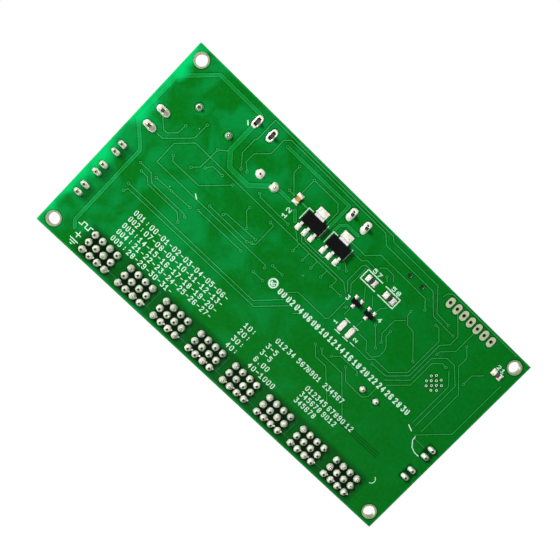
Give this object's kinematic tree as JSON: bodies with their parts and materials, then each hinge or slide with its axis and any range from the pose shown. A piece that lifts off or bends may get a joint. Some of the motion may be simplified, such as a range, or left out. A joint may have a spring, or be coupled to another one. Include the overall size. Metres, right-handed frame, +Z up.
{
  "type": "servo driver board",
  "caption": "Circuit board that drives rows of hobby servos, with pin headers along one edge, screw terminals, a WiFi module and a USB socket.",
  "frame": {"origin": "centre of the four mounting holes, on the board's underside", "axes": "+Z up out of the component side; +X along the board, away from the WiFi module; the servo headers lie along the -Y edge and the power terminals along the +Y edge"},
  "size_m": [0.12, 0.061, 0.0195],
  "materials": {
    "fr4_mask": "glossy solder mask",
    "plated_copper": "tinned",
    "solder": "bright solder",
    "header_plastic": "matt",
    "pin_metal": "tin plated",
    "cap_plastic": "glossy",
    "terminal_plastic": "satin",
    "steel": "zinc plated",
    "can_sleeve": "glossy sleeve",
    "seal_rubber": "matt",
    "winding_paper": "wound",
    "moulding": "moulded epoxy",
    "nickel_can": "nickel",
    "tinned_lead": "tinned",
    "module_mask": "matt black mask",
    "module_gold": "plated",
    "shell_steel": "tin plated",
    "switch_metal": "stamped",
    "button_plastic": "matt",
    "ceramic_tan": "fired",
    "ceramic_dark": "glazed",
    "lamp_lens": "clear epoxy"
  },
  "bodies": {
    "board": {"capacitor_can": "can_sleeve", "capacitor_seal": "seal_rubber", "capacitor_winding": "winding_paper", "chip_capacitors": "ceramic_tan", "chip_resistors": "ceramic_dark", "chip_terminals": "tinned_lead", "circuit_board": "fr4_mask", "component_leads": "tinned_lead", "crystal_can": "nickel_can", "diode_body": "moulding", "expansion_header_pads": "plated_copper", "interface_chips": "moulding", "jumper_headers": "header_plastic", "jumper_pins": "pin_metal", "mounting_hole_plating": "plated_copper", "rear_leads": "tinned_lead", "reset_transistors": "moulding", "servo_header_1": "header_plastic", "servo_header_2": "header_plastic", "servo_header_3": "header_plastic", "servo_header_4": "header_plastic", "servo_header_5": "header_plastic", "servo_header_6": "header_plastic", "servo_header_7": "header_plastic", "servo_header_8": "header_plastic", "servo_header_pins": "pin_metal", "solder_joints": "solder", "status_lamps": "lamp_lens", "surface_leads": "tinned_lead", "switch_cases": "switch_metal", "terminal_block_1": "terminal_plastic", "terminal_block_2": "terminal_plastic", "terminal_block_3": "terminal_plastic", "terminal_contacts": "tinned_lead", "test_pads": "plated_copper", "usb_insert": "moulding", "usb_shell": "shell_steel", "voltage_regulators": "moulding", "wifi_module_board": "module_mask", "wifi_module_chips": "moulding", "wifi_module_pads": "module_gold", "wifi_module_shield": "nickel_can"},
    "clamp_screw_1": {"clamp_screw_1": "steel"},
    "clamp_cage_1": {"clamp_cage_1": "steel"},
    "clamp_screw_2": {"clamp_screw_2": "steel"},
    "clamp_cage_2": {"clamp_cage_2": "steel"},
    "clamp_screw_3": {"clamp_screw_3": "steel"},
    "clamp_cage_3": {"clamp_cage_3": "steel"},
    "clamp_screw_4": {"clamp_screw_4": "steel"},
    "clamp_cage_4": {"clamp_cage_4": "steel"},
    "clamp_screw_5": {"clamp_screw_5": "steel"},
    "clamp_cage_5": {"clamp_cage_5": "steel"},
    "clamp_screw_6": {"clamp_screw_6": "steel"},
    "clamp_cage_6": {"clamp_cage_6": "steel"},
    "jumper_cap_1": {"jumper_cap_1": "cap_plastic"},
    "jumper_cap_2": {"jumper_cap_2": "cap_plastic"},
    "jumper_cap_3": {"jumper_cap_3": "cap_plastic"},
    "jumper_cap_4": {"jumper_cap_4": "cap_plastic"},
    "reset_button": {"reset_button": "button_plastic"},
    "boot_button": {"boot_button": "button_plastic"}
  },
  "joints": [
    {"name": "clamp_screw_1_turn", "type": "hinge", "parent": "board", "child": "clamp_screw_1", "pos_m": [0.03639, 0.0272, 0.012], "axis": [0, 0, -1], "range_deg": [0, 1440]},
    {"name": "clamp_cage_1_rise", "type": "slide", "parent": "board", "child": "clamp_cage_1", "axis": [0, 0, 1], "range_m": [0, 0.002]},
    {"name": "clamp_screw_2_turn", "type": "hinge", "parent": "board", "child": "clamp_screw_2", "pos_m": [0.03131, 0.0272, 0.012], "axis": [0, 0, -1], "range_deg": [0, 1440]},
    {"name": "clamp_cage_2_rise", "type": "slide", "parent": "board", "child": "clamp_cage_2", "axis": [0, 0, 1], "range_m": [0, 0.002]},
    {"name": "clamp_screw_3_turn", "type": "hinge", "parent": "board", "child": "clamp_screw_3", "pos_m": [0.00274, 0.0272, 0.012], "axis": [0, 0, -1], "range_deg": [0, 1440]},
    {"name": "clamp_cage_3_rise", "type": "slide", "parent": "board", "child": "clamp_cage_3", "axis": [0, 0, 1], "range_m": [0, 0.002]},
    {"name": "clamp_screw_4_turn", "type": "hinge", "parent": "board", "child": "clamp_screw_4", "pos_m": [-0.00234, 0.0272, 0.012], "axis": [0, 0, -1], "range_deg": [0, 1440]},
    {"name": "clamp_cage_4_rise", "type": "slide", "parent": "board", "child": "clamp_cage_4", "axis": [0, 0, 1], "range_m": [0, 0.002]},
    {"name": "clamp_screw_5_turn", "type": "hinge", "parent": "board", "child": "clamp_screw_5", "pos_m": [0.05617, 0.00661, 0.012], "axis": [0, 0, -1], "range_deg": [0, 1440]},
    {"name": "clamp_cage_5_rise", "type": "slide", "parent": "board", "child": "clamp_cage_5", "axis": [0, 0, 1], "range_m": [0, 0.002]},
    {"name": "clamp_screw_6_turn", "type": "hinge", "parent": "board", "child": "clamp_screw_6", "pos_m": [0.05617, 0.01169, 0.012], "axis": [0, 0, -1], "range_deg": [0, 1440]},
    {"name": "clamp_cage_6_rise", "type": "slide", "parent": "board", "child": "clamp_cage_6", "axis": [0, 0, 1], "range_m": [0, 0.002]},
    {"name": "jumper_cap_1_pull", "type": "slide", "parent": "board", "child": "jumper_cap_1", "axis": [0, 0, 1], "range_m": [0, 0.0075]},
    {"name": "jumper_cap_2_pull", "type": "slide", "parent": "board", "child": "jumper_cap_2", "axis": [0, 0, 1], "range_m": [0, 0.0075]},
    {"name": "jumper_cap_3_pull", "type": "slide", "parent": "board", "child": "jumper_cap_3", "axis": [0, 0, 1], "range_m": [0, 0.0075]},
    {"name": "jumper_cap_4_pull", "type": "slide", "parent": "board", "child": "jumper_cap_4", "axis": [0, 0, 1], "range_m": [0, 0.0075]},
    {"name": "reset_button_press", "type": "slide", "parent": "board", "child": "reset_button", "axis": [0, 0, -1], "range_m": [0, 0.00025], "stiffness_N_per_m": 6000},
    {"name": "boot_button_press", "type": "slide", "parent": "board", "child": "boot_button", "axis": [0, 0, -1], "range_m": [0, 0.00025], "stiffness_N_per_m": 6000}
  ],
  "couplings": [
    {"joint": "clamp_screw_1_turn", "follows": "clamp_cage_1_rise", "rad_per_m": 12566},
    {"joint": "clamp_screw_2_turn", "follows": "clamp_cage_2_rise", "rad_per_m": 12566},
    {"joint": "clamp_screw_3_turn", "follows": "clamp_cage_3_rise", "rad_per_m": 12566},
    {"joint": "clamp_screw_4_turn", "follows": "clamp_cage_4_rise", "rad_per_m": 12566},
    {"joint": "clamp_screw_5_turn", "follows": "clamp_cage_5_rise", "rad_per_m": 12566},
    {"joint": "clamp_screw_6_turn", "follows": "clamp_cage_6_rise", "rad_per_m": 12566}
  ]
}
